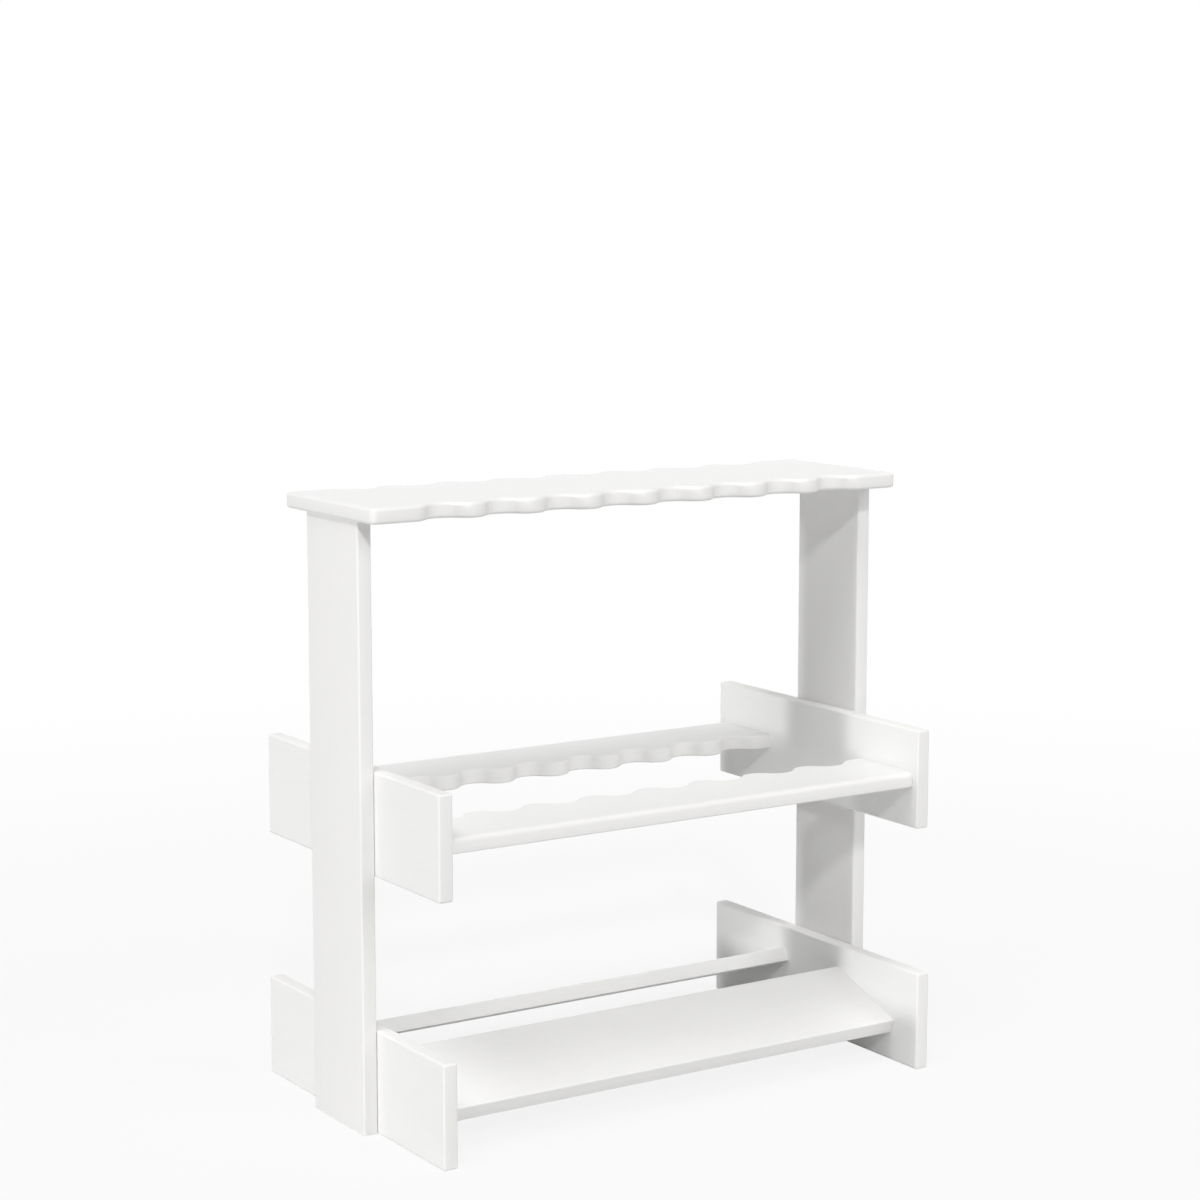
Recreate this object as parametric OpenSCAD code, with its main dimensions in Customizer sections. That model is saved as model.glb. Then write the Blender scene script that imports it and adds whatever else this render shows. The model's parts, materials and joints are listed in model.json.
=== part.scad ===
// Two-sided floor rack of painted boards: notched top board and middle shelves, sloping base shelves.
// The origin is on the floor under the middle of the rack, +Z is up and the front faces -Y.
// A piece is drawn on the right (+X) or rear (+Y) side and mirrored to make its twin.

/* [Boards] */
// Thickness of every board
board_t = 18; // [16:0.5:20]
// Radius of the eased edges of uprights and arms
edge_r = 2.5; // [1:0.5:4]

/* [Uprights] */
// Width over the outer faces of the uprights
rack_w = 714; // [706:2:760]
// Height of the uprights
upright_h = 700; // [600:5:900]
// Depth of the uprights from front to back
upright_d = 121; // [104:1:140]

/* [Top board] */
// Overhang of the top board past each upright
top_overhang = 5; // [0:1:15]
// Depth of the top board from front to back
top_d = 209; // [180:1:260]
// Radius of the top board's four corners, seen from above
top_corner_r = 8; // [2:1:15]

/* [Notches] */
// Notches along each scalloped edge
notch_count = 8; // [2:1:8]
// Distance from one notch to the next
notch_pitch = 77; // [66:0.5:78]
// Depth of a notch
notch_depth = 18; // [12:0.5:20]

/* [Middle arms and shelves] */
// Length of the middle arms from front to back
mid_arm_l = 409; // [380:1:460]
// Height of the middle arms' boards
mid_arm_h = 120; // [104:1:140]
// Height of the middle arms' undersides above the floor
mid_arm_z = 298; // [220:1:380]
// Width of a middle shelf from its teeth to its outer edge
mid_shelf_w = 103.5; // [92:0.5:112]
// Setback of a middle shelf's outer edge from the arms' ends
mid_shelf_setback = 9; // [0:0.5:15]
// Drop from the arms' top edges to the middle shelves' tops
mid_shelf_drop = 52; // [20:1:80]
// Radius of a middle shelf's upper outer edge
mid_shelf_r = 6; // [2:0.5:8]

/* [Base arms and shelves] */
// Length of the base arms from front to back
base_arm_l = 421; // [400:1:480]
// Height of the base arms' boards
base_arm_h = 120; // [112:1:150]
// Width of a base shelf along its slope
base_shelf_w = 121; // [92:1:125]
// Gap between the upper inner edges of the two base shelves
base_shelf_gap = 109; // [80:1:120]
// Drop from the arms' top edges to the base shelves' upper inner edges
base_shelf_drop = 26.5; // [10:0.5:32]
// Slope of the base shelves, outer edge lower
base_shelf_tilt = 20; // [10:0.5:22]
// Radius of a base shelf's eased edges
base_shelf_r = 1.2; // [0.5:0.1:2]

/* [Dowels] */
// Radius of a dowel
dowel_r = 4; // [3:0.5:5]
// Chamfer at a dowel's ends
dowel_chamfer = 1; // [0.5:0.1:1.5]
// Length of dowel held in a board's face
dowel_face_l = 12; // [9:0.5:13]
// Length of dowel held in a board's end
dowel_end_l = 18; // [14:0.5:24]
// Dowels between an upright and the top board
top_dowel_count = 3; // [2:1:3]
// Distance between those dowels
top_dowel_pitch = 40; // [24:1:45]
// Distance between an arm's two columns of dowels
arm_dowel_dy = 70; // [40:1:90]
// Distance between an arm's two rows of dowels
arm_dowel_dz = 60; // [40:1:90]
// Distance between the two dowels at a shelf's end
shelf_dowel_pitch = 64; // [48:1:72]

/* [Cam fittings] */
// Radius of a cam disc
cam_r = 7.5; // [6:0.5:8.5]
// Height of a cam disc
cam_h = 13.5; // [11.5:0.5:14]
// Distance from a shelf's end to its cam's axis
cam_setback = 24; // [18:1:34]
// Width of the cross recess in a cam's face
cam_cross_w = 1.6; // [1:0.1:2]
// Length of the cross recess in a cam's face
cam_cross_l = 8; // [6:0.5:9]
// Depth of the cross recess in a cam's face
cam_cross_h = 2; // [1:0.5:2.5]
// Radius of a cam bolt's threaded end
bolt_thread_r = 2.5; // [2:0.1:3]
// Length of a cam bolt's threaded end
bolt_thread_l = 11; // [9:0.5:13]
// Radius of a cam bolt's collar
bolt_collar_r = 3.5; // [3.2:0.1:3.9]
// Length of a cam bolt's collar
bolt_collar_l = 2; // [1:0.5:4]
// Radius of a cam bolt's shank
bolt_shank_r = 2.5; // [2:0.1:3]
// Radius of a cam bolt's head
bolt_head_r = 3.2; // [3.1:0.1:3.4]
// Length of a cam bolt's head
bolt_head_l = 3; // [2:0.5:4]
// Radius of the neck behind a cam bolt's head
bolt_neck_r = 1.6; // [1.2:0.1:1.9]
// Length of the neck behind a cam bolt's head
bolt_neck_l = 4; // [2:0.5:6]

/* [Hidden] */

// Clearance round a dowel, a bolt or a cam in its bore
fit = 0.1;
// Clearance at the blind end of a bore
end_gap = 0.3;
// Length by which a cut runs past the faces it opens
over = 1;
// Segments of a round shape
$fn = 64;

// Planes where the boards meet, on the right side
upright_x = rack_w / 2 - board_t;
arm_x = upright_x - board_t;
shelf_l = 2 * arm_x;
top_l = rack_w + 2 * top_overhang;

// Arc radius with which neighbouring notches and teeth run smoothly into each other
wave_r = (pow(notch_pitch / 2, 2) + pow(notch_depth, 2)) / (4 * notch_depth);
wave_l = notch_count * notch_pitch;

// Centres of the middle shelf and of an arm's dowel pattern
mid_shelf_y = mid_arm_l / 2 - mid_shelf_setback - mid_shelf_w / 2;
mid_shelf_z = mid_arm_z + mid_arm_h - mid_shelf_drop - board_t / 2;
mid_arm_mid_z = mid_arm_z + mid_arm_h / 2;
base_arm_mid_z = base_arm_h / 2;

board_color = "white";
dowel_color = "burlywood";
metal_color = "silver";

// Shapes that repeat

// Rectangle round the origin with rounded corners
module soft_rect(w, h, r) {
    square([w - 2 * r, h], center = true);
    square([w, h - 2 * r], center = true);
    for (x = [-1, 1], y = [-1, 1])
        translate([x * (w / 2 - r), y * (h / 2 - r)])
            circle(r);
}

// Board round the origin with every edge eased
module eased_board(x, y, z, r) {
    intersection() {
        linear_extrude(z, center = true) soft_rect(x, y, r);
        rotate([90, 0, 0]) linear_extrude(y, center = true) soft_rect(x, z, r);
        rotate([90, 0, 90]) linear_extrude(x, center = true) soft_rect(y, z, r);
    }
}

// Outline from y = 0 to a scalloped edge whose teeth touch y = depth, notches between them
module wave_outline(l, depth) {
    mid_line = depth - notch_depth / 2;
    difference() {
        union() {
            translate([-l / 2, 0]) square([l, mid_line]);
            for (i = [0 : notch_count])
                translate([(i - notch_count / 2) * notch_pitch, depth - wave_r])
                    circle(wave_r);
            for (side = [-1, 1])
                translate([side * (l + wave_l) / 4, depth / 2])
                    square([(l - wave_l) / 2, depth], center = true);
        }
        for (i = [0 : notch_count - 1])
            translate([(i + 0.5 - notch_count / 2) * notch_pitch, depth - notch_depth + wave_r])
                circle(wave_r);
    }
}

// Round pin along X from x = -back to x = front
module pin_x(r, back, front) {
    translate([-back, 0, 0])
        rotate([0, 90, 0])
            cylinder(h = back + front, r = r);
}

// Dowel along X across the plane x = 0
module dowel_x(back, front) {
    l = back + front;
    translate([-back, 0, 0])
        rotate([0, 90, 0])
            rotate_extrude()
                polygon([
                    [0, 0], [dowel_r - dowel_chamfer, 0], [dowel_r, dowel_chamfer],
                    [dowel_r, l - dowel_chamfer], [dowel_r - dowel_chamfer, l], [0, l]
                ]);
}

// Bore for dowel_x
module dowel_bore_x(back, front) {
    pin_x(dowel_r + fit, back + end_gap, front + end_gap);
}

// Where things go

// Copies at both ends of a shelf or of the rack, drawn at the right end
module both_ends() {
    children();
    mirror([1, 0, 0]) children();
}

// From a middle shelf's own frame to the rear side of the rack
module place_mid() {
    translate([0, mid_shelf_y, mid_shelf_z]) children();
}

// From a base shelf's own frame to the rear side of the rack
module place_base() {
    translate([0, base_shelf_gap / 2, base_arm_h - base_shelf_drop])
        rotate([-base_shelf_tilt, 0, 0])
            translate([0, base_shelf_w / 2, -board_t / 2])
                children();
}

// Places of the dowels in an upright's top end, on the right side
module at_top_dowels() {
    for (i = [0 : top_dowel_count - 1])
        translate([upright_x + board_t / 2, (i - (top_dowel_count - 1) / 2) * top_dowel_pitch, upright_h])
            rotate([0, -90, 0])
                children();
}

// Places of the dowels between an upright and an arm at a given height, on the right side
module at_arm_dowels(z) {
    for (y = [-1, 1], h = [-1, 1])
        translate([upright_x, y * arm_dowel_dy / 2, z + h * arm_dowel_dz / 2])
            children();
}

// Places of the dowels at the right end of a shelf, in the shelf's frame
module at_shelf_dowels() {
    for (y = [-1, 1])
        translate([shelf_l / 2, y * shelf_dowel_pitch / 2, 0])
            children();
}

// Fittings of a shelf, in the shelf's frame

module shelf_dowels() {
    both_ends() at_shelf_dowels() dowel_x(dowel_end_l, dowel_face_l);
}

// Bolt that a cam pulls on: thread in the arm, head inside the cam
module cam_bolt() {
    head_l = bolt_head_l / 2;
    rotate([0, 90, 0])
        rotate_extrude()
            polygon([
                [0, -cam_setback - head_l],
                [bolt_head_r, -cam_setback - head_l],
                [bolt_head_r, -cam_setback + head_l],
                [bolt_neck_r, -cam_setback + head_l],
                [bolt_neck_r, -cam_setback + head_l + bolt_neck_l],
                [bolt_shank_r, -cam_setback + head_l + bolt_neck_l],
                [bolt_shank_r, -bolt_collar_l],
                [bolt_collar_r, -bolt_collar_l],
                [bolt_collar_r, 0],
                [bolt_thread_r, 0],
                [bolt_thread_r, bolt_thread_l],
                [0, bolt_thread_l]
            ]);
}

module shelf_cam_bolts() {
    both_ends() translate([shelf_l / 2, 0, 0]) cam_bolt();
}

// Disc with a socket for the bolt's head in its side and a cross recess in its face
module cam_disc() {
    difference() {
        translate([0, 0, -board_t / 2 + end_gap]) cylinder(h = cam_h, r = cam_r - fit);
        pin_x(bolt_head_r + fit, bolt_head_l / 2 + end_gap, cam_r + over);
        for (turn = [0, 90])
            rotate([0, 0, turn])
                translate([0, 0, -board_t / 2 + end_gap + cam_cross_h / 2 - over / 2])
                    cube([cam_cross_l, cam_cross_w, cam_cross_h + over], center = true);
    }
}

module shelf_cams() {
    both_ends() translate([shelf_l / 2 - cam_setback, 0, 0]) cam_disc();
}

// Everything that is drilled in a shelf
module shelf_bores() {
    both_ends() {
        at_shelf_dowels() dowel_bore_x(dowel_end_l, dowel_face_l);
        translate([shelf_l / 2, 0, 0]) pin_x(bolt_collar_r + fit, cam_setback, over);
        translate([shelf_l / 2 - cam_setback, 0, -board_t / 2 - over])
            cylinder(h = over + cam_h + 2 * end_gap, r = cam_r);
    }
}

// Everything that a shelf's right end needs drilled in the arm
module shelf_bores_in_arm() {
    at_shelf_dowels() dowel_bore_x(dowel_end_l, dowel_face_l);
    translate([shelf_l / 2, 0, 0]) pin_x(bolt_thread_r, over, bolt_thread_l + end_gap);
}

// Boards, on the right or rear side

module upright() {
    difference() {
        translate([upright_x + board_t / 2, 0, 0])
            linear_extrude(upright_h)
                soft_rect(board_t, upright_d, edge_r);
        at_top_dowels() dowel_bore_x(dowel_end_l, dowel_face_l);
        at_arm_dowels(mid_arm_mid_z) dowel_bore_x(dowel_face_l, dowel_face_l);
        at_arm_dowels(base_arm_mid_z) dowel_bore_x(dowel_face_l, dowel_face_l);
    }
}

module mid_arm() {
    difference() {
        translate([arm_x + board_t / 2, 0, mid_arm_mid_z])
            eased_board(board_t, mid_arm_l, mid_arm_h, edge_r);
        at_arm_dowels(mid_arm_mid_z) dowel_bore_x(dowel_face_l, dowel_face_l);
        place_mid() shelf_bores_in_arm();
        mirror([0, 1, 0]) place_mid() shelf_bores_in_arm();
    }
}

module base_arm() {
    difference() {
        translate([arm_x + board_t / 2, 0, base_arm_mid_z])
            eased_board(board_t, base_arm_l, base_arm_h, edge_r);
        at_arm_dowels(base_arm_mid_z) dowel_bore_x(dowel_face_l, dowel_face_l);
        place_base() shelf_bores_in_arm();
        mirror([0, 1, 0]) place_base() shelf_bores_in_arm();
    }
}

module mid_shelf() {
    place_mid() difference() {
        intersection() {
            translate([0, mid_shelf_w / 2, -board_t / 2])
                linear_extrude(board_t)
                    mirror([0, 1]) wave_outline(shelf_l, mid_shelf_w);
            rotate([90, 0, 90])
                linear_extrude(shelf_l, center = true) {
                    translate([-mid_shelf_w / 2, -board_t / 2])
                        square([mid_shelf_w - mid_shelf_r, board_t]);
                    translate([-mid_shelf_w / 2, -board_t / 2])
                        square([mid_shelf_w, board_t - mid_shelf_r]);
                    translate([mid_shelf_w / 2 - mid_shelf_r, board_t / 2 - mid_shelf_r])
                        circle(mid_shelf_r);
                }
        }
        shelf_bores();
    }
}

module base_shelf() {
    place_base() difference() {
        rotate([90, 0, 90])
            linear_extrude(shelf_l, center = true)
                soft_rect(base_shelf_w, board_t, base_shelf_r);
        shelf_bores();
    }
}

// Pieces

module top_board() {
    color(board_color) difference() {
        translate([0, 0, upright_h])
            linear_extrude(board_t)
                intersection() {
                    union() {
                        wave_outline(top_l, top_d / 2);
                        mirror([0, 1]) wave_outline(top_l, top_d / 2);
                    }
                    soft_rect(top_l, top_d, top_corner_r);
                }
        both_ends() at_top_dowels() dowel_bore_x(dowel_end_l, dowel_face_l);
    }
}

module left_upright() { color(board_color) mirror([1, 0, 0]) upright(); }
module right_upright() { color(board_color) upright(); }
module left_mid_arm() { color(board_color) mirror([1, 0, 0]) mid_arm(); }
module right_mid_arm() { color(board_color) mid_arm(); }
module left_base_arm() { color(board_color) mirror([1, 0, 0]) base_arm(); }
module right_base_arm() { color(board_color) base_arm(); }
module front_mid_shelf() { color(board_color) mirror([0, 1, 0]) mid_shelf(); }
module rear_mid_shelf() { color(board_color) mid_shelf(); }
module front_base_shelf() { color(board_color) mirror([0, 1, 0]) base_shelf(); }
module rear_base_shelf() { color(board_color) base_shelf(); }

module top_dowels() {
    color(dowel_color) at_top_dowels() dowel_x(dowel_end_l, dowel_face_l);
}

module arm_dowels(z) {
    color(dowel_color) at_arm_dowels(z) dowel_x(dowel_face_l, dowel_face_l);
}

module left_top_dowels() { mirror([1, 0, 0]) top_dowels(); }
module right_top_dowels() { top_dowels(); }
module left_mid_arm_dowels() { mirror([1, 0, 0]) arm_dowels(mid_arm_mid_z); }
module right_mid_arm_dowels() { arm_dowels(mid_arm_mid_z); }
module left_base_arm_dowels() { mirror([1, 0, 0]) arm_dowels(base_arm_mid_z); }
module right_base_arm_dowels() { arm_dowels(base_arm_mid_z); }
module front_mid_shelf_dowels() { color(dowel_color) mirror([0, 1, 0]) place_mid() shelf_dowels(); }
module rear_mid_shelf_dowels() { color(dowel_color) place_mid() shelf_dowels(); }
module front_base_shelf_dowels() { color(dowel_color) mirror([0, 1, 0]) place_base() shelf_dowels(); }
module rear_base_shelf_dowels() { color(dowel_color) place_base() shelf_dowels(); }
module front_mid_cam_bolts() { color(metal_color) mirror([0, 1, 0]) place_mid() shelf_cam_bolts(); }
module rear_mid_cam_bolts() { color(metal_color) place_mid() shelf_cam_bolts(); }
module front_base_cam_bolts() { color(metal_color) mirror([0, 1, 0]) place_base() shelf_cam_bolts(); }
module rear_base_cam_bolts() { color(metal_color) place_base() shelf_cam_bolts(); }
module front_mid_cams() { color(metal_color) mirror([0, 1, 0]) place_mid() shelf_cams(); }
module rear_mid_cams() { color(metal_color) place_mid() shelf_cams(); }
module front_base_cams() { color(metal_color) mirror([0, 1, 0]) place_base() shelf_cams(); }
module rear_base_cams() { color(metal_color) place_base() shelf_cams(); }

top_board();
left_upright();
right_upright();
left_mid_arm();
right_mid_arm();
left_base_arm();
right_base_arm();
front_mid_shelf();
rear_mid_shelf();
front_base_shelf();
rear_base_shelf();
left_top_dowels();
right_top_dowels();
left_mid_arm_dowels();
right_mid_arm_dowels();
left_base_arm_dowels();
right_base_arm_dowels();
front_mid_shelf_dowels();
rear_mid_shelf_dowels();
front_base_shelf_dowels();
rear_base_shelf_dowels();
front_mid_cam_bolts();
rear_mid_cam_bolts();
front_base_cam_bolts();
rear_base_cam_bolts();
front_mid_cams();
rear_mid_cams();
front_base_cams();
rear_base_cams();
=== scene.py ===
"""Dresses a two-sided floor rack: painted boards, wooden dowels and steel cam fittings."""
import json
import math
from typing import NamedTuple

import bmesh
import bpy
import numpy as np
from bpy.props import FloatProperty, FloatVectorProperty, IntProperty, PointerProperty
from bpy.types import Operator, Panel, PropertyGroup
from mathutils import Euler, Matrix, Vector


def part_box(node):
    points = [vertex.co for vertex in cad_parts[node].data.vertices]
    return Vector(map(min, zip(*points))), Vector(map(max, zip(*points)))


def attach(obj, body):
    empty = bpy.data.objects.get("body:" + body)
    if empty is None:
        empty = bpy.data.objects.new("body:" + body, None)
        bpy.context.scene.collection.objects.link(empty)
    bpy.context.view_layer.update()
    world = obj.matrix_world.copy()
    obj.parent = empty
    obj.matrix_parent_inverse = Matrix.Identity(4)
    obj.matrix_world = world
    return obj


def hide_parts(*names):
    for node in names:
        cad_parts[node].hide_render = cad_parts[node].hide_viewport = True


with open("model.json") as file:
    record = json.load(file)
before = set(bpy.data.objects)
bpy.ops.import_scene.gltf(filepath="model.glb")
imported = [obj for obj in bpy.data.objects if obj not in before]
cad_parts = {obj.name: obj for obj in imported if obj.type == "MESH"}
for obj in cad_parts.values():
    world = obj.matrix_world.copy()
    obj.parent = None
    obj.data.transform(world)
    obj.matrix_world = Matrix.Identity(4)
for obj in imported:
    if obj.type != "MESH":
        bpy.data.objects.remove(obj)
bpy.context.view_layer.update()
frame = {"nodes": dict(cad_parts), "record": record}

bl_info = {
    "name": "Rod Rack",
    "version": (1, 0, 0),
    "blender": (4, 5, 0),
    "location": "View3D > Sidebar > Rod Rack",
    "description": "Builds the painted boards, the fittings and the studio of a notched floor rack",
    "category": "Add Mesh",
}

BODY = "root"
PAINT_SLOT = "white_paint"
X, Y, Z = 0, 1, 2


def node_box(node):
    """Centre and size of a node of the frame, as arrays."""
    low, high = (np.array(corner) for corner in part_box(node))
    return (low + high) / 2, high - low


# What the frame says of the boards and the notches
BOARDS = [
    part["node"]
    for part in frame["record"]["subparts"]
    if part["material_slot"] == PAINT_SLOT
]
BOARD_THICKNESS = node_box("top_board")[1][Z]
NOTCH_PLACES = [
    (opening["box_m"][0][X] + opening["box_m"][1][X]) / 2
    for opening in frame["record"]["physics"]["openings"]
    if opening["name"].startswith("top_front_notch")
]
NOTCH_PITCH = (NOTCH_PLACES[-1] - NOTCH_PLACES[0]) / (len(NOTCH_PLACES) - 1)

# A ring in a board's face this far past its rounded edge keeps the face flat
FACE_HOLD = 0.0003
# Worn paint and painted shade on a rounded edge fade out this far past it
WEAR_AND_SHADE_REACH = 0.0025
# Faces across the round at a middle shelf's end
END_STEPS = 3

# The blind bore that holds a cam disc: its size, the gap round the disc, the chamfer at its mouth
# and the faces round it
BORE_RADIUS = 0.0075
BORE_DEPTH = 0.0141
BORE_GAP = 0.0001
BORE_CHAMFER = 0.0004
BORE_SIDES = 48
# Length by which a cutter stands out of the face that it opens
CUTTER_OVER = 0.002
# Once a shelf has its bores, its edges that bend more than this are sharp
SHARP_ANGLE = math.radians(40.0)
# Points nearer to each other than this are one point, and shorter edges than this are dropped
MERGE_REACH = 1e-6
SHORTEST_EDGE = 1e-7

# Metres to millimetres on each axis, because the marks of the finishes are given in millimetres
MILLIMETRES = (1000.0, 1000.0, 1000.0)
# Move of the grain from one board to the next, in millimetres, so that no two boards repeat
GRAIN_STEP = (53.0, 170.0, 240.0)
# Marks in the paint: growth rings and fibre, along the grain and across it, then the spray's
# texture, the clouds in its tone and the rubbed places on its edges, alike all ways
PAINT_RINGS = (280.0, 11.0)
PAINT_FIBRE = (50.0, 1.1)
SPRAY_MARKS = 1.8
PAINT_CLOUDS = 90.0
RUBBED_MARKS = 6.0
# Radians of a growth ring's wave over the whole range of its noise, in paint and in bare wood
PAINT_RING_TURN = 46.0
WOOD_RING_TURN = 40.0
# Share of pine in the edges' warm tone (worn paint, partly painted shade), and the paint's
# refraction
PINE_SHARE = 0.1
PAINT_IOR = 1.5
# Marks in bare wood, along the grain and across it, and the relief of two of them in metres
WOOD_RINGS = (50.0, 2.9)
WOOD_FIBRE = (6.7, 0.33)
WOOD_PORES = (2.0, 0.2)
FIBRE_RELIEF = 0.00003
PORE_RELIEF = 0.00005
# How much the growth rings change the tone of each wood
PINE_RING_DEPTH = 0.6
BEECH_RING_DEPTH = 0.4
# Marks of tumbling in the plating on each axis, their relief in metres and the clouds in its tone
TUMBLE_MARKS = (0.45, 0.11, 0.45)
TUMBLE_RELIEF = 0.00001
PLATING_CLOUDS = 2.9

WHITE = (1.0, 1.0, 1.0)
# Width of the camera's sensor in millimetres
SENSOR_WIDTH = 36.0
# Half the floor's width, and its drop below the rack, which keeps it off the boards' lower edges
FLOOR_REACH = 40.0
FLOOR_DROP = 0.0002
# The floor's even share beside the rack; from the first to the second distance it grows to all
FLOOR_EVEN = 0.85
FLOOR_FADE = (0.8, 3.0)


class Lamp(NamedTuple):
    """A distant lamp: its level's setting, its width as an angle and the way to it, in degrees.

    Azimuth 0 lies in front of the rack and -90 at its left.
    """

    setting: str
    width: float
    azimuth: float
    elevation: float


LAMPS = (
    Lamp("side_level", 3.0, -90.4, 5.0),
    Lamp("key_level", 5.0, -27.0, 34.7),
    Lamp("front_level", 33.4, 25.0, 30.0),
    Lamp("high_level", 33.4, -60.0, 65.0),
    Lamp("back_level", 43.6, 145.0, 52.0),
)


class RodRackShape(PropertyGroup):
    """Sizes of the boards' outlines and edges that the frame's boxes don't give."""

    notch_count: IntProperty(
        name="Notches", description="Notches along each scalloped edge",
        default=len(NOTCH_PLACES), min=1
    )
    notch_pitch: FloatProperty(
        name="Notch pitch", description="Distance from one notch to the next",
        default=NOTCH_PITCH, unit="LENGTH"
    )
    notch_depth: FloatProperty(
        name="Notch depth", description="Depth of a notch",
        default=0.018, unit="LENGTH"
    )
    top_corner: FloatProperty(
        name="Top corner", description="Radius of the top board's corners from above",
        default=0.008, unit="LENGTH"
    )
    top_edge: FloatProperty(
        name="Top edge", description="Round on the top board's edges",
        default=0.004, unit="LENGTH"
    )
    upright_edge: FloatProperty(
        name="Upright edge", description="Round on the long edges of the uprights",
        default=0.0026, unit="LENGTH"
    )
    arm_edge: FloatProperty(
        name="Arm edge", description="Round on the edges of the arms",
        default=0.0026, unit="LENGTH"
    )
    shelf_nose: FloatProperty(
        name="Shelf nose", description="Round on a middle shelf's upper outer edge",
        default=0.006, unit="LENGTH"
    )
    shelf_edge: FloatProperty(
        name="Shelf edge", description="Round on a middle shelf's other long edges",
        default=0.002, unit="LENGTH"
    )
    base_edge: FloatProperty(
        name="Base shelf edge", description="Round on the base shelves' long edges",
        default=0.0013, unit="LENGTH"
    )
    base_slope: FloatProperty(
        name="Base slope", description="Slope of the base shelves, outer edge lower",
        default=math.radians(20.0), subtype="ANGLE"
    )
    end_ease: FloatProperty(
        name="End easing", description="Round where a board's end meets its neighbour",
        default=0.0006, unit="LENGTH"
    )
    fillet_steps: IntProperty(
        name="Fillet steps", description="Faces across a quarter round",
        default=6, min=2
    )
    wave_steps: IntProperty(
        name="Wave steps", description="Faces along a quarter of a notch's wave",
        default=8, min=2
    )


class RodRackFinish(PropertyGroup):
    """Colours and surface relief of paint, wood and steel."""

    paint: FloatVectorProperty(
        name="Paint", description="White satin paint",
        default=(0.865, 0.865, 0.858), size=3, subtype="COLOR", min=0.0, max=1.0
    )
    pine: FloatVectorProperty(
        name="Pine", description="Bare pine under the paint",
        default=(0.62, 0.44, 0.27), size=3, subtype="COLOR", min=0.0, max=1.0
    )
    beech: FloatVectorProperty(
        name="Beech", description="Wood of the dowels",
        default=(0.56, 0.36, 0.20), size=3, subtype="COLOR", min=0.0, max=1.0
    )
    zinc: FloatVectorProperty(
        name="Zinc", description="Plated steel of the cam fittings",
        default=(0.58, 0.58, 0.60), size=3, subtype="COLOR", min=0.0, max=1.0
    )
    paint_roughness: FloatProperty(
        name="Paint roughness", description="Lowest roughness of the satin paint",
        default=0.48, min=0.0, max=1.0
    )
    grain_relief: FloatProperty(
        name="Grain relief", description="Height of the grain that shows through the paint",
        default=0.000016, unit="LENGTH"
    )
    spray_relief: FloatProperty(
        name="Spray relief", description="Height of the paint's fine spray texture",
        default=0.000010, unit="LENGTH"
    )


class RodRackStage(PropertyGroup):
    """Camera, lamps and floor."""

    camera_place: FloatVectorProperty(
        name="Camera place", description="Where the camera stands",
        default=(-1.7979, -2.7701, 1.0588), size=3, unit="LENGTH"
    )
    camera_turn: FloatProperty(
        name="Camera turn", description="Turn of the view from +Y towards +X",
        default=math.radians(32.982), subtype="ANGLE"
    )
    camera_tilt: FloatProperty(
        name="Camera tilt", description="Tilt of the view below the horizon",
        default=math.radians(8.297), subtype="ANGLE"
    )
    focal_length: FloatProperty(
        name="Focal length", description="Focal length in millimetres on a 36 mm wide sensor",
        default=84.35
    )
    sky_level: FloatProperty(
        name="Sky level", description="Even light from all around",
        default=0.20, min=0.0
    )
    side_level: FloatProperty(
        name="Side level", description="Level of the low narrow lamp at the left",
        default=0.92, min=0.0
    )
    key_level: FloatProperty(
        name="Key level", description="Level of the narrow lamp that draws the shadows",
        default=0.87, min=0.0
    )
    front_level: FloatProperty(
        name="Front level", description="Level of the wide lamp in front on the right",
        default=0.81, min=0.0
    )
    high_level: FloatProperty(
        name="High level", description="Level of the wide lamp high on the left",
        default=1.25, min=0.0
    )
    back_level: FloatProperty(
        name="Back level", description="Level of the wide lamp behind on the right",
        default=0.40, min=0.0
    )
    floor: FloatVectorProperty(
        name="Floor", description="Colour of the pale floor",
        default=(0.70, 0.70, 0.70), size=3, subtype="COLOR", min=0.0, max=1.0
    )


# Outlines and rounds


def rounded_rectangle(width, height, radius, inset, steps):
    """Closed outline (n, 2) of a rectangle with round corners, moved inwards by inset.

    Each corner is c + r (cos a, sin a) with a over a quarter turn, c the inner rectangle's corner,
    and r = radius - inset, or 0 once the inset has used the corner up.
    """
    start = np.radians(90.0 * np.arange(4))[:, None]
    turn = start + np.linspace(0, math.pi / 2, steps + 1)
    side = np.array([[1, 1], [-1, 1], [-1, -1], [1, -1]])[:, None, :]
    left = max(radius - inset, 0.0)
    reach = np.array([width / 2 - inset - left, height / 2 - inset - left])
    corners = side * reach + left * np.stack([np.cos(turn), np.sin(turn)], -1)
    return corners.reshape(-1, 2)


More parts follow.
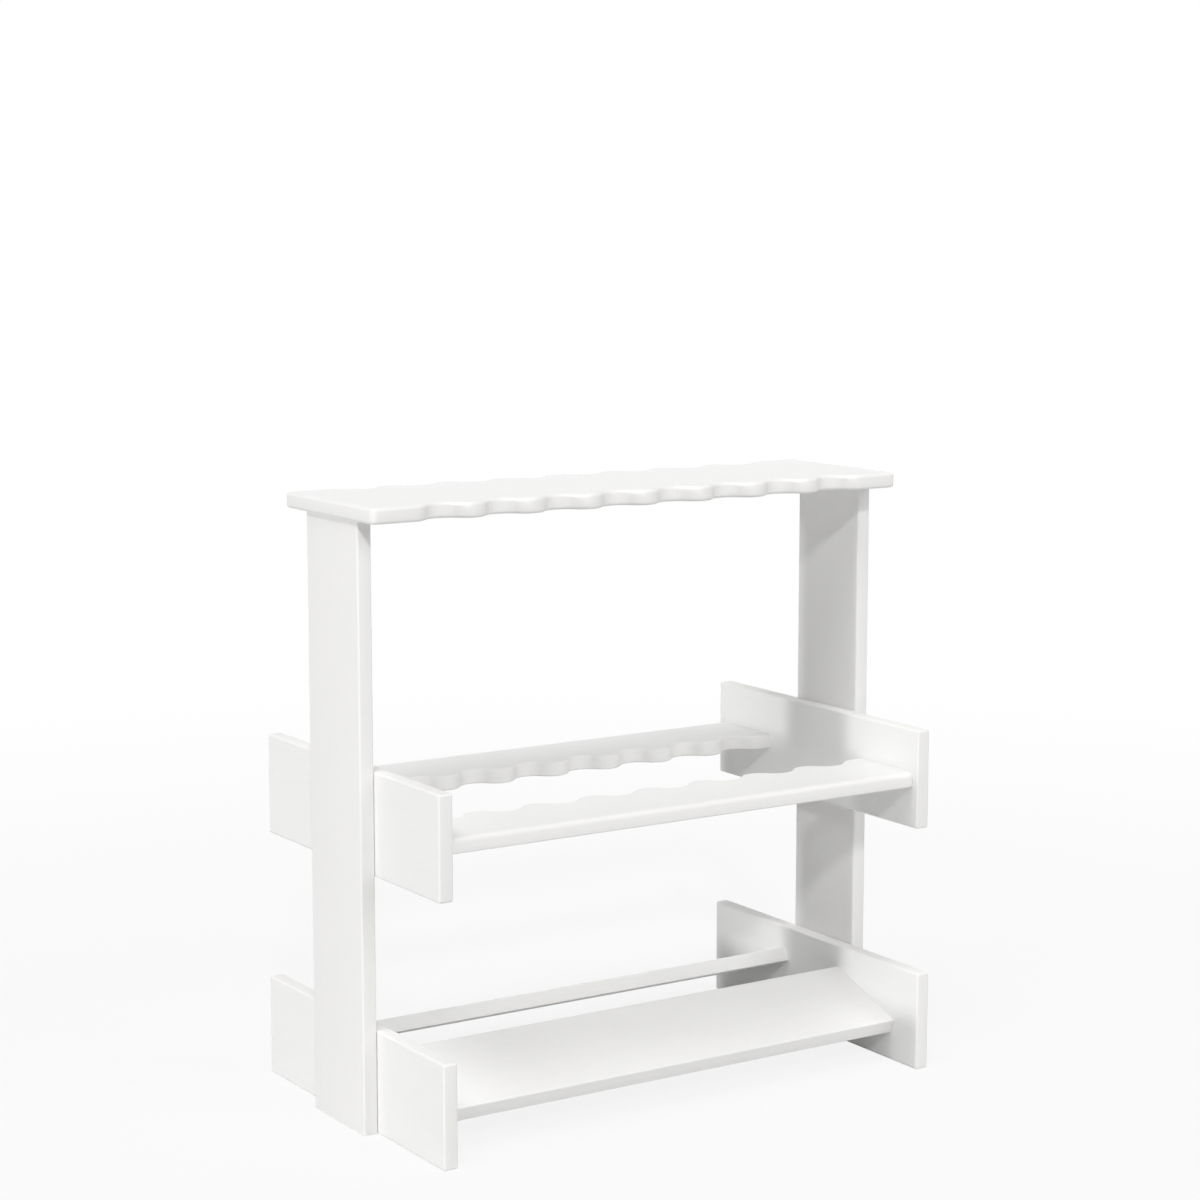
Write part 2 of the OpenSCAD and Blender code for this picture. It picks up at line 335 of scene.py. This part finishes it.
def wave(shape, inset):
    """Scalloped edge (n, 2) along X, its teeth's tips at y = 0 and material below, moved inwards.

    Teeth and notches are equal arcs that meet on a common tangent: a tooth is c + R n and a notch
    c - R n, with n = (sin a, cos a) and R = (pitch^2 / 4 + depth^2) / (4 depth). Moving inwards
    makes it R - inset on teeth and R + inset in notches. The end teeth are half teeth.
    """
    pitch, depth = shape.notch_pitch, shape.notch_depth
    count, steps = shape.notch_count, shape.wave_steps
    big = (pitch ** 2 / 4 + depth ** 2) / (4 * depth)
    reach = math.asin(pitch / 4 / big)
    rise = np.linspace(-reach, reach, 2 * steps + 1)[:-1]
    angle = np.concatenate([rise, -rise])
    is_tooth = np.repeat([1.0, -1.0], 2 * steps)
    centre_x = np.repeat([0.0, pitch / 2], 2 * steps)
    centre_y = np.repeat([-big, big - depth], 2 * steps)
    period = np.arange(count + 1)[:, None] * pitch
    x = (period + centre_x + is_tooth * (big - is_tooth * inset) * np.sin(angle)).ravel()
    y = np.tile(centre_y + is_tooth * (big - is_tooth * inset) * np.cos(angle), count + 1)
    whole = slice(steps, steps + 4 * steps * count + 1)
    return np.stack([x[whole] - count * pitch / 2, y[whole]], -1)


def scalloped_outline(shape, length, width, inset):
    """Closed outline (n, 2) of a board with a wave on both long edges and round corners between.

    The wave stands at y = width / 2 - inset, its mirror image at the other edge, and each corner
    is an arc as in rounded_rectangle. Points run anticlockwise from the right end.
    """
    corner = rounded_rectangle(length, width, shape.top_corner, inset, shape.fillet_steps)
    right_up, left_up, left_down, right_down = np.split(corner, 4)
    edge = wave(shape, inset) + [0.0, width / 2]
    return np.concatenate([right_up, edge[::-1], left_up, left_down, edge * [1, -1], right_down])


def eased_edge(radius, steps):
    """Rows (inset, drop, cos a, sin a, wear and shade) of a round from a board's side to its face.

    With a from 0 to a quarter turn, the inset is r (1 - cos a), the drop below the face is
    r (1 - sin a) and the wear and shade is 0.5 + 0.5 sin 2a: worn paint, and painted shade that
    tones down the highlight on the round. Two more rows lie in the face and keep it flat, and the
    wear and shade ends there.
    """
    a = np.linspace(0.0, math.pi / 2, steps + 1)
    inset, drop = radius * (1 - np.cos(a)), radius * (1 - np.sin(a))
    # The last column peaks in the middle of the round: worn paint, and painted shade against its
    # highlight
    turn = np.stack([inset, drop, np.cos(a), np.sin(a), 0.5 + 0.5 * np.sin(2 * a)], -1)
    face = [[radius + FACE_HOLD, 0.0, 0.0, 1.0, 0.5], [radius + WEAR_AND_SHADE_REACH, 0.0, 0.0, 1.0, 0.0]]
    return np.concatenate([turn, face])


# Meshes


def skin(name, rings, wear):
    """Mesh from closed rings (r, n, 3), quads between neighbours, edge wear and painted shade as
    attribute.

    The first and last rings are folded on a line or a point, so joining equal points closes them.
    """
    count, around = rings.shape[:2]
    index = np.arange(count * around).reshape(count, around)
    here, beside = index[:-1], np.roll(index[:-1], -1, axis=1)
    above, across = index[1:], np.roll(index[1:], -1, axis=1)
    quads = np.stack([here, beside, across, above], -1).reshape(-1, 4)
    mesh = bpy.data.meshes.new(name)
    mesh.from_pydata(rings.reshape(-1, 3).tolist(), [], quads.tolist())
    # The attribute marks the rounded edges for worn paint and for painted shade that tones down
    # their highlight
    mesh.attributes.new("wear", "FLOAT", "POINT").data.foreach_set(
        "value", np.broadcast_to(wear, (count, around)).astype(np.float32).ravel()
    )
    work = bmesh.new()
    work.from_mesh(mesh)
    bmesh.ops.remove_doubles(work, verts=work.verts, dist=MERGE_REACH)
    bmesh.ops.dissolve_degenerate(work, edges=work.edges, dist=SHORTEST_EDGE)
    bmesh.ops.recalc_face_normals(work, faces=work.faces)
    work.to_mesh(mesh)
    work.free()
    mesh.shade_smooth()
    piece = bpy.data.objects.new(name, mesh)
    bpy.context.scene.collection.objects.link(piece)
    return piece


def slab_rings(outline, half, ease, steps):
    """Rings of a flat board between z = -half and z = half, and each ring's wear and painted shade.

    outline(inset) gives a closed (n, 2) curve. The rings run from the lower face's middle
    outwards, round the edge and back over the upper face. The end rings lie on the face's middle
    line, with x held within half the length less half the width, so that both ends of the face
    close in a fan.
    """
    upper = []
    edge = eased_edge(ease, steps)
    for inset, drop in edge[:, :2]:
        curve = outline(inset)
        upper.append(np.column_stack([curve, np.full(len(curve), half - drop)]))
    reach = np.abs(curve).max(axis=0)
    spine = max(reach[X] - reach[Y], 0.0)
    fold = np.clip(curve[:, X], -spine, spine)
    upper.append(np.column_stack([fold, np.zeros(len(fold)), np.full(len(fold), half)]))
    upper = np.array(upper)
    wear = np.append(edge[:, 4], 0.0)[:, None]
    return np.concatenate([upper[::-1] * [1, 1, -1], upper]), np.concatenate([wear[::-1], wear])


def place(points, axes, centre, slope=0.0):
    """Points (..., 3) laid with x, y and z along the given axes, turned about X and moved."""
    laid = np.empty_like(points)
    laid[..., list(axes)] = points
    c, s = math.cos(slope), math.sin(slope)
    return laid @ np.array([[1.0, 0.0, 0.0], [0.0, c, s], [0.0, -s, c]]) + centre


def finish_board(piece, node, material):
    """Gives a board its paint, lets it ride and hides the node that it stands for."""
    piece.data.materials.append(material)
    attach(piece, BODY)
    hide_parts(node)


def plain_board(node, axes, size, corner, ease, material, slope=0.0):
    """A straight board round a node's centre.

    The axes are the outline's two directions and the thickness, and size has the same order.
    """
    steps = bpy.context.scene.rod_rack_shape.fillet_steps

    def outline(inset):
        return rounded_rectangle(size[0], size[1], corner, inset, steps)

    rings, wear = slab_rings(outline, size[2] / 2, ease, steps)
    piece = skin(f"{node}_painted", place(rings, axes, node_box(node)[0], slope), wear)
    finish_board(piece, node, material)
    return piece


def shelf_section(shape, thickness):
    """Section of a middle shelf: a row (side, inset, z, normal y, normal z, wear and shade) per
    line.

    side is -1 for a line that follows the scalloped inner edge and 1 for one that follows the
    outer edge. The rows run up the inner edge, out over the top, down the nose and back under.
    """
    corners = (
        (-1, -1, shape.shelf_edge),
        (-1, 1, shape.shelf_edge),
        (1, 1, shape.shelf_nose),
        (1, -1, shape.shelf_edge),
    )
    rows = []
    for side, top, radius in corners:
        inset, drop, outwards, upwards, wear = eased_edge(radius, shape.fillet_steps).T
        z = top * (thickness / 2 - drop)
        corner = [np.full_like(z, side), inset, z, side * outwards, top * upwards, wear]
        rows.append(np.stack(corner, -1)[::-side * top])
    return np.concatenate(rows)


def shelf_line(shape, length, side, inset):
    """Points (n, 2) along one long edge of a middle shelf, moved inwards, from left to right.

    The inner edge is the wave. The outer edge is straight, with the same spacing along X.
    """
    line = wave(shape, inset if side < 0 else 0.0)
    if side > 0:
        line[:, Y] = -inset
    return np.concatenate([[[-length / 2, -inset]], line, [[length / 2, -inset]]])


def shelf_rings(shape, length, width, thickness):
    """Rings of a middle shelf along X, in its own frame.

    The inner edge lies at y = -width / 2 and the outer one at width / 2. Ring i holds point i of
    each of the section's lines. At the ends the section shrinks by e (1 - cos a) while x goes on
    to the end. The last rings are folded on the section's middle line, each point halfway to the
    one above or below it, so that the end closes.
    """
    section = shelf_section(shape, thickness)
    columns = []
    for side, inset, z in section[:, :3]:
        line = shelf_line(shape, length, side, inset)
        y = side * (line[:, Y] + width / 2)
        columns.append(np.column_stack([line[:, X], y, np.full_like(y, z)]))
    body = np.stack(columns, axis=1)
    normal = section[:, 3:5]
    inset, drop = eased_edge(shape.end_ease, END_STEPS)[:-1, :2].T

    def end(ring, sign):
        """Rings that go on from a ring to the left or right end and close it."""
        cap = np.repeat(ring[None], len(inset), axis=0)
        cap[..., X] = sign * (length / 2 - drop)[:, None]
        cap[..., 1:] -= inset[:, None, None] * normal
        fold = (cap[-1:] + cap[-1:, ::-1]) / 2 * [1.0, 1.0 - thickness / width, 0.0]
        return np.concatenate([cap, fold])

    rings = np.concatenate([end(body[0], -1)[::-1], body[1:-1], end(body[-1], 1)])
    return rings, section[:, 5]


def cut_cam_bores(piece, side, level, slope, inner):
    """Cuts a round blind bore up into a shelf's underside round each of its two cam discs.

    A cutter is a profile of radius and height turned about the bore's axis, with a mouth that
    widens at 45 degrees. The nodes of the discs give the places.
    """
    low, high = (np.array(corner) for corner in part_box(f"{side}_{level}_cams"))
    centre = node_box(f"{side}_{level}_shelf")[0]
    under = centre + np.array([0.0, math.sin(slope), -math.cos(slope)]) * BOARD_THICKNESS / 2
    mouth = BORE_RADIUS + BORE_CHAMFER + CUTTER_OVER
    profile = np.array([
        [0.0, -CUTTER_OVER],
        [mouth, -CUTTER_OVER],
        [BORE_RADIUS, BORE_CHAMFER],
        [BORE_RADIUS, BORE_DEPTH],
        [0.0, BORE_DEPTH],
    ])
    radius, height = profile[:, :1], profile[:, 1:]
    around = np.linspace(0.0, 2 * math.pi, BORE_SIDES, endpoint=False)
    rings = np.stack([
        radius * np.cos(around),
        radius * np.sin(around),
        np.repeat(height, BORE_SIDES, axis=1),
    ], -1)
    for x in (low[X] - BORE_GAP + BORE_RADIUS, high[X] + BORE_GAP - BORE_RADIUS):
        cutter = skin("cutter", place(rings, (X, Y, Z), [x, under[Y], under[Z]], slope), 0.0)
        cutter.data.materials.append(inner)
        cut = piece.modifiers.new("bore", "BOOLEAN")
        cut.object = cutter
        cut.solver = "EXACT"
        cut.material_mode = "TRANSFER"
        cut_piece = piece.evaluated_get(bpy.context.evaluated_depsgraph_get())
        made = bpy.data.meshes.new_from_object(cut_piece)
        piece.modifiers.clear()
        made.name = piece.data.name
        piece.data = made
        bpy.data.objects.remove(cutter)
    piece.data.set_sharp_from_angle(angle=SHARP_ANGLE)


# Materials


class Signal:
    """One socket's value, so that shader maths reads as Python.

    Numbers go through Math nodes and vectors through Vector Math nodes.
    """

    def __init__(self, graph, socket):
        self.graph = graph
        self.socket = socket

    def _join(self, operation, first, second):
        signals = [value for value in (first, second) if isinstance(value, Signal)]
        is_vector = any(signal.socket.type == "VECTOR" for signal in signals)
        kind = "ShaderNodeVectorMath" if is_vector else "ShaderNodeMath"
        return self.graph.add(kind, {"operation": operation}, {0: first, 1: second})

    def __add__(self, other):
        return self._join("ADD", self, other)

    def __radd__(self, other):
        return self._join("ADD", other, self)

    def __sub__(self, other):
        return self._join("SUBTRACT", self, other)

    def __rsub__(self, other):
        return self._join("SUBTRACT", other, self)

    def __mul__(self, other):
        return self._join("MULTIPLY", self, other)

    def __rmul__(self, other):
        return self._join("MULTIPLY", other, self)

    def smooth(self, low, high):
        """This value spread from low .. high to 0 .. 1 with a smooth step."""
        settings = {"interpolation_type": "SMOOTHSTEP"}
        inputs = {"Value": self, "From Min": low, "From Max": high}
        return self.graph.add("ShaderNodeMapRange", settings, inputs)

    def sine(self):
        """Sine of this value, in radians."""
        return self.graph.add("ShaderNodeMath", {"operation": "SINE"}, {0: self})


class Graph:
    """The nodes of a material or a world."""

    def __init__(self, owner):
        self.owner = owner
        owner.use_nodes = True
        owner.node_tree.nodes.clear()

    def add(self, kind, settings=None, inputs=None, output=0):
        """A node with its settings and inputs set, as a Signal of the named or numbered output."""
        node = self.owner.node_tree.nodes.new(kind)
        for key, value in (settings or {}).items():
            setattr(node, key, value)
        for key, value in (inputs or {}).items():
            socket = node.inputs[key]
            if isinstance(value, Signal):
                self.owner.node_tree.links.new(value.socket, socket)
            elif socket.type == "RGBA" and len(value) == 3:
                socket.default_value = (*value, 1.0)
            else:
                socket.default_value = value
        return Signal(self, node.outputs[output]) if node.outputs else None

    def spot(self, shift):
        """Object place in millimetres, moved along."""
        place_m = self.add("ShaderNodeTexCoord", {}, {}, "Object")
        return place_m * MILLIMETRES + shift

    def noise(self, spot, size, detail=2.0, roughness=0.5):
        """Noise around 0.5 with marks of a size in millimetres, alike all ways or axis by axis."""
        sizes = size if isinstance(size, tuple) else (size, size, size)
        place_in_marks = spot * tuple(1.0 / s for s in sizes)
        inputs = {"Vector": place_in_marks, "Scale": 1.0, "Detail": detail, "Roughness": roughness}
        return self.add("ShaderNodeTexNoise", {}, inputs, "Fac")

    def mix(self, factor, first, second):
        """Colour that goes from first to second with the factor."""
        return self.add("ShaderNodeMix", {"data_type": "RGBA"}, {0: factor, 6: first, 7: second}, 2)

    def bump(self, height):
        """Normal bent by a height in metres."""
        return self.add("ShaderNodeBump", {}, {"Strength": 1.0, "Distance": 1.0, "Height": height})

    def surface(self, inputs):
        """Principled surface wired to the material's output."""
        shader = self.add("ShaderNodeBsdfPrincipled", {}, inputs)
        self.add("ShaderNodeOutputMaterial", {}, {"Surface": shader})


def tinted(colour, factor):
    """A colour made darker or lighter by a factor, no brighter than 1."""
    return tuple(min(factor * channel, 1.0) for channel in colour)


def along_grain(along, length, width):
    """Size of marks that are long along one axis and narrow across it."""
    return tuple(length if axis == along else width for axis in (X, Y, Z))


def paint_material(node, along):
    """White satin paint sprayed on a planed pine board whose grain runs along one axis.

    Growth rings and fibre show through as faint relief and tone, and the spray leaves a fine
    texture. The wear attribute makes the rounded edges a little warmer, darker and duller.
    The darkening is partly worn paint and partly painted shade that tones down the lamps' highlight
    on the rims, and the edges are warmest where a noise says that they are rubbed.
    """
    finish = bpy.context.scene.rod_rack_finish
    material = bpy.data.materials.new(f"paint_{node}")
    graph = Graph(material)
    spot = graph.spot(tuple(BOARDS.index(node) * step for step in GRAIN_STEP))
    rings = graph.noise(spot, along_grain(along, *PAINT_RINGS), 2.0, 0.45)
    bands = (rings * PAINT_RING_TURN).sine()
    fibre = graph.noise(spot, along_grain(along, *PAINT_FIBRE), 3.0, 0.6)
    spray = graph.noise(spot, SPRAY_MARKS, 2.0, 0.55)
    cloud = graph.noise(spot, PAINT_CLOUDS)
    # Mask of the rounded edges: worn paint, and painted shade that tones down the lamps' highlight
    # on them
    wear = graph.add("ShaderNodeAttribute", {"attribute_name": "wear"}, {}, "Fac")
    rub = wear * graph.noise(spot, RUBBED_MARKS, 3.0, 0.65).smooth(0.45, 0.75)
    shade = (bands * 0.25 + fibre * 0.5 + cloud * 0.8).smooth(0.2, 1.1)
    pairs = zip(finish.paint, finish.pine)
    warm = tuple((1 - PINE_SHARE) * paint + PINE_SHARE * pine for paint, pine in pairs)
    tint = graph.mix(shade, tinted(finish.paint, 0.985), tuple(finish.paint))
    # The even part of this darkening is painted shade on the rims; the rubbed, noisy part is worn
    # paint
    colour = graph.mix(rub * 0.35 + wear * 0.45, tint, warm)
    roughness = fibre * 0.10 + spray * 0.08 + wear * 0.14 + finish.paint_roughness
    grain = bands * (0.5 * finish.grain_relief) + fibre * finish.grain_relief
    graph.surface({
        "Base Color": colour,
        "Roughness": roughness,
        "Normal": graph.bump(grain + spray * finish.spray_relief),
        "IOR": PAINT_IOR,
    })
    return material


def bare_wood_material(name, colour, along, ring_depth):
    """Unpainted wood: growth rings, fine fibre and short dark pores, drawn out along one axis."""
    material = bpy.data.materials.new(name)
    graph = Graph(material)
    spot = graph.spot((0.0, 0.0, 0.0))
    bands = (graph.noise(spot, along_grain(along, *WOOD_RINGS)) * WOOD_RING_TURN).sine()
    fibre = graph.noise(spot, along_grain(along, *WOOD_FIBRE), 3.0, 0.6)
    pores = graph.noise(spot, along_grain(along, *WOOD_PORES), 1.0).smooth(0.62, 0.74)
    tone = ((bands * 0.5 + 0.5) * ring_depth + fibre * 0.5).smooth(0.1, 0.9)
    wood = graph.mix(tone, tinted(colour, 1.12), tinted(colour, 0.72))
    shaded = graph.mix(pores * 0.6, wood, tinted(colour, 0.5))
    normal = graph.bump(fibre * FIBRE_RELIEF - pores * PORE_RELIEF)
    graph.surface({"Base Color": shaded, "Roughness": fibre * 0.2 + 0.55, "Normal": normal})
    return material


def steel_material(name):
    """Zinc plated steel: a metal with fine tumbling marks and a faint cloudy tone."""
    finish = bpy.context.scene.rod_rack_finish
    material = bpy.data.materials.new(name)
    graph = Graph(material)
    spot = graph.spot((0.0, 0.0, 0.0))
    marks = graph.noise(spot, TUMBLE_MARKS, 3.0, 0.6)
    cloud = graph.noise(spot, PLATING_CLOUDS).smooth(0.3, 0.7)
    tone = graph.mix(cloud, tinted(finish.zinc, 0.86), tuple(finish.zinc))
    graph.surface({
        "Base Color": tone,
        "Metallic": 1.0,
        "Roughness": marks * 0.2 + 0.24,
        "Normal": graph.bump(marks * TUMBLE_RELIEF),
    })
    return material


# Operators


class ROD_RACK_OT_top_board(Operator):
    """Add the top board with a scalloped front and rear edge"""

    bl_idname = "rod_rack.top_board"
    bl_label = "Top Board"

    def execute(self, context):
        shape = context.scene.rod_rack_shape
        centre, size = node_box("top_board")

        def outline(inset):
            return scalloped_outline(shape, size[X], size[Y], inset)

        rings, wear = slab_rings(outline, size[Z] / 2, shape.top_edge, shape.fillet_steps)
        piece = skin("top_board_painted", place(rings, (X, Y, Z), centre), wear)
        finish_board(piece, "top_board", paint_material("top_board", X))
        return {"FINISHED"}


class ROD_RACK_OT_uprights(Operator):
    """Add the two uprights"""

    bl_idname = "rod_rack.uprights"
    bl_label = "Uprights"

    def execute(self, context):
        shape = context.scene.rod_rack_shape
        axes = [Y, X, Z]
        for node in ("left_upright", "right_upright"):
            size = node_box(node)[1][axes]
            paint = paint_material(node, Z)
            plain_board(node, axes, size, shape.upright_edge, shape.end_ease, paint)
        return {"FINISHED"}


class ROD_RACK_OT_arms(Operator):
    """Add the middle arms and the base arms"""

    bl_idname = "rod_rack.arms"
    bl_label = "Arms"

    def execute(self, context):
        shape = context.scene.rod_rack_shape
        axes = [Y, Z, X]
        for node in ("left_mid_arm", "right_mid_arm", "left_base_arm", "right_base_arm"):
            size = node_box(node)[1][axes]
            paint = paint_material(node, Y)
            plain_board(node, axes, size, shape.arm_edge, shape.arm_edge, paint)
        return {"FINISHED"}


class ROD_RACK_OT_mid_shelves(Operator):
    """Add the two level middle shelves with scalloped inner edges"""

    bl_idname = "rod_rack.mid_shelves"
    bl_label = "Middle Shelves"

    def execute(self, context):
        shape = context.scene.rod_rack_shape
        pine = tuple(context.scene.rod_rack_finish.pine)
        inner = bare_wood_material("bare_pine_mid", pine, X, PINE_RING_DEPTH)
        for side, sign in (("front", -1), ("rear", 1)):
            node = f"{side}_mid_shelf"
            centre, size = node_box(node)
            rings, wear = shelf_rings(shape, *size)
            piece = skin(f"{node}_painted", place(rings * [1, sign, 1], (X, Y, Z), centre), wear)
            finish_board(piece, node, paint_material(node, X))
            cut_cam_bores(piece, side, "mid", 0.0, inner)
        return {"FINISHED"}


class ROD_RACK_OT_base_shelves(Operator):
    """Add the two sloping base shelves"""

    bl_idname = "rod_rack.base_shelves"
    bl_label = "Base Shelves"

    def execute(self, context):
        shape = context.scene.rod_rack_shape
        slope, edge = shape.base_slope, shape.base_edge
        pine = tuple(context.scene.rod_rack_finish.pine)
        inner = bare_wood_material("bare_pine_base", pine, X, PINE_RING_DEPTH)
        for side, sign in (("front", -1), ("rear", 1)):
            node = f"{side}_base_shelf"
            length, reach, _ = node_box(node)[1]
            # The box's reach in Y is the board's width and thickness between its rounds, turned,
            # plus a round at each end
            flat = BOARD_THICKNESS - 2 * edge
            width = (reach - 2 * edge - flat * math.sin(slope)) / math.cos(slope) + 2 * edge
            size = (width, BOARD_THICKNESS, length)
            paint = paint_material(node, X)
            piece = plain_board(node, [Y, Z, X], size, edge, shape.end_ease, paint, -sign * slope)
            cut_cam_bores(piece, side, "base", -sign * slope, inner)
        return {"FINISHED"}


class ROD_RACK_OT_fittings(Operator):
    """Give the dowels, cam bolts and cam discs their wood and steel"""

    bl_idname = "rod_rack.fittings"
    bl_label = "Fittings"

    def execute(self, context):
        beech = tuple(context.scene.rod_rack_finish.beech)
        finishes = {
            "top_dowels": bare_wood_material("beech_upright", beech, Z, BEECH_RING_DEPTH),
            "dowels": bare_wood_material("beech_level", beech, X, BEECH_RING_DEPTH),
            "cam_bolts": steel_material("bolt_steel"),
            "cams": steel_material("disc_steel"),
        }
        for name, node in frame["nodes"].items():
            kinds = [kind for kind in finishes if name.endswith(kind)]
            if kinds:
                node.data.materials.clear()
                node.data.materials.append(finishes[kinds[0]])
        return {"FINISHED"}


def soft_lamp(lamp, level):
    """A distant disc of light, so that it lights both ends of the rack alike."""
    data = bpy.data.lights.new(lamp.setting.replace("level", "lamp"), "SUN")
    data.energy = level
    data.angle = math.radians(lamp.width)
    item = bpy.data.objects.new(data.name, data)
    tilt = math.radians(90.0 - lamp.elevation)
    item.rotation_euler = Euler((tilt, 0.0, math.radians(lamp.azimuth)))
    bpy.context.scene.collection.objects.link(item)


def background_ray(graph):
    """1 for a ray that shows the background itself, and else 0.

    Such a ray comes from the camera, a mirror or clear glass.
    """
    camera, glossy, clear = (
        graph.add("ShaderNodeLightPath", {}, {}, name)
        for name in ("Is Camera Ray", "Is Glossy Ray", "Is Transmission Ray")
    )
    reflected = graph.add("ShaderNodeMath", {"operation": "MAXIMUM"}, {0: glossy, 1: clear})
    return graph.add("ShaderNodeMath", {"operation": "MAXIMUM"}, {0: camera, 1: reflected})


def add_floor(stage):
    """A wide pale floor that keeps the shadow near the rack and fades to white further off."""
    mesh = bpy.data.meshes.new("floor")
    corners = FLOOR_REACH * np.array([[-1.0, -1.0], [1.0, -1.0], [1.0, 1.0], [-1.0, 1.0]])
    corners = np.column_stack([corners, np.full(len(corners), -FLOOR_DROP)])
    mesh.from_pydata(corners.tolist(), [], [(0, 1, 2, 3)])
    floor = bpy.data.objects.new("floor", mesh)
    bpy.context.scene.collection.objects.link(floor)
    material = bpy.data.materials.new("pale_floor")
    graph = Graph(material)
    lit = graph.add("ShaderNodeBsdfDiffuse", {}, {"Color": tuple(stage.floor)})
    even = graph.add("ShaderNodeEmission", {}, {"Color": WHITE, "Strength": 1.0})
    spot = graph.add("ShaderNodeTexCoord", {}, {}, "Object")
    distance = graph.add("ShaderNodeVectorMath", {"operation": "LENGTH"}, {0: spot}, "Value")
    share = background_ray(graph) * (distance.smooth(*FLOOR_FADE) * (1.0 - FLOOR_EVEN) + FLOOR_EVEN)
    mixed = graph.add("ShaderNodeMixShader", {}, {0: share, 1: lit, 2: even})
    graph.add("ShaderNodeOutputMaterial", {}, {"Surface": mixed})
    mesh.materials.append(material)


def light_world(scene, level):
    """An even white surround that lights at a level and shows as plain white."""
    scene.world = bpy.data.worlds.new("studio")
    graph = Graph(scene.world)
    strength = background_ray(graph) * (1.0 - level) + level
    sky = graph.add("ShaderNodeBackground", {}, {"Color": WHITE, "Strength": strength})
    graph.add("ShaderNodeOutputWorld", {}, {"Surface": sky})


class ROD_RACK_OT_stage(Operator):
    """Add the camera, the pale floor, the even light and the soft lamps"""

    bl_idname = "rod_rack.stage"
    bl_label = "Studio"

    def execute(self, context):
        scene = context.scene
        stage = scene.rod_rack_stage
        scene.view_settings.view_transform = "Standard"
        data = bpy.data.cameras.new("camera")
        data.sensor_width = SENSOR_WIDTH
        data.lens = stage.focal_length
        camera = bpy.data.objects.new("camera", data)
        camera.location = stage.camera_place
        camera.rotation_euler = Euler((math.pi / 2 - stage.camera_tilt, 0.0, -stage.camera_turn))
        scene.collection.objects.link(camera)
        scene.camera = camera
        add_floor(stage)
        light_world(scene, stage.sky_level)
        for lamp in LAMPS:
            soft_lamp(lamp, getattr(stage, lamp.setting))
        return {"FINISHED"}


class ROD_RACK_PT_panel(Panel):
    """Lists the rack's settings and pieces in the 3D view's sidebar"""

    bl_idname = "ROD_RACK_PT_panel"
    bl_label = "Rod Rack"
    bl_space_type = "VIEW_3D"
    bl_region_type = "UI"
    bl_category = "Rod Rack"

    def draw(self, context):
        for group in GROUPS:
            settings = getattr(context.scene, group)
            column = self.layout.column(heading=settings.bl_rna.name)
            for key in settings.bl_rna.properties.keys():
                if key not in ("rna_type", "name"):
                    column.prop(settings, key)
        for operator in OPERATORS:
            self.layout.operator(operator.bl_idname)


GROUPS = {
    "rod_rack_shape": RodRackShape,
    "rod_rack_finish": RodRackFinish,
    "rod_rack_stage": RodRackStage,
}
OPERATORS = (
    ROD_RACK_OT_stage,
    ROD_RACK_OT_top_board,
    ROD_RACK_OT_uprights,
    ROD_RACK_OT_arms,
    ROD_RACK_OT_mid_shelves,
    ROD_RACK_OT_base_shelves,
    ROD_RACK_OT_fittings,
)
CLASSES = (*GROUPS.values(), *OPERATORS, ROD_RACK_PT_panel)


def register():
    """Registers every class and hangs the settings on the scene."""
    for item in CLASSES:
        bpy.utils.register_class(item)
    for name, group in GROUPS.items():
        setattr(bpy.types.Scene, name, PointerProperty(type=group))


def unregister():
    """Takes the settings and classes away again."""
    for name in GROUPS:
        delattr(bpy.types.Scene, name)
    for item in reversed(CLASSES):
        bpy.utils.unregister_class(item)


def main():
    """Builds the whole rack and its studio."""
    register()
    bpy.ops.rod_rack.stage()
    bpy.ops.rod_rack.top_board()
    bpy.ops.rod_rack.uprights()
    bpy.ops.rod_rack.arms()
    bpy.ops.rod_rack.mid_shelves()
    bpy.ops.rod_rack.base_shelves()
    bpy.ops.rod_rack.fittings()


if __name__ == "__main__":
    main()
